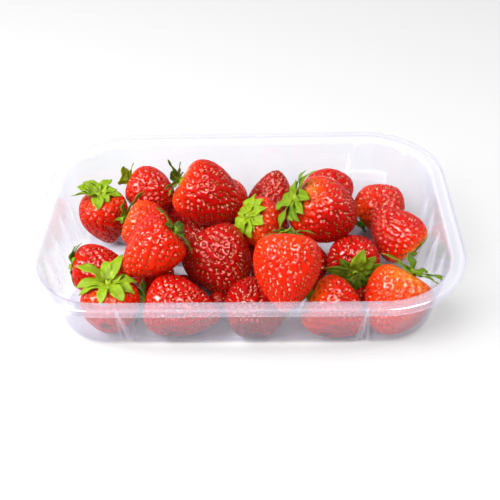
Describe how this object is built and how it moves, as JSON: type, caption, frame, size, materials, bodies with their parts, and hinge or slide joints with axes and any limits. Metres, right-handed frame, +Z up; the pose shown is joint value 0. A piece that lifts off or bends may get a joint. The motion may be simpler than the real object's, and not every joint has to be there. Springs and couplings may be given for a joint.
{
  "type": "punnet of strawberries",
  "caption": "Clear thermoformed rectangular fruit punnet with rounded corners, fluted end walls and a flat flange, filled loosely with ripe strawberries with green calyxes.",
  "frame": {"origin": "centre of the punnet's flat underside", "axes": "+X along the punnet's length, +Y across its width away from the viewer, +Z up out of the open top"},
  "size_m": [0.187, 0.13, 0.0557],
  "materials": {
    "clear_plastic": "clear, glossy",
    "strawberry": "glossy red skin with sunken pale seeds and matte green calyxes"
  },
  "bodies": {
    "root": {"punnet": "clear_plastic", "strawberries": "strawberry"}
  },
  "joints": []
}
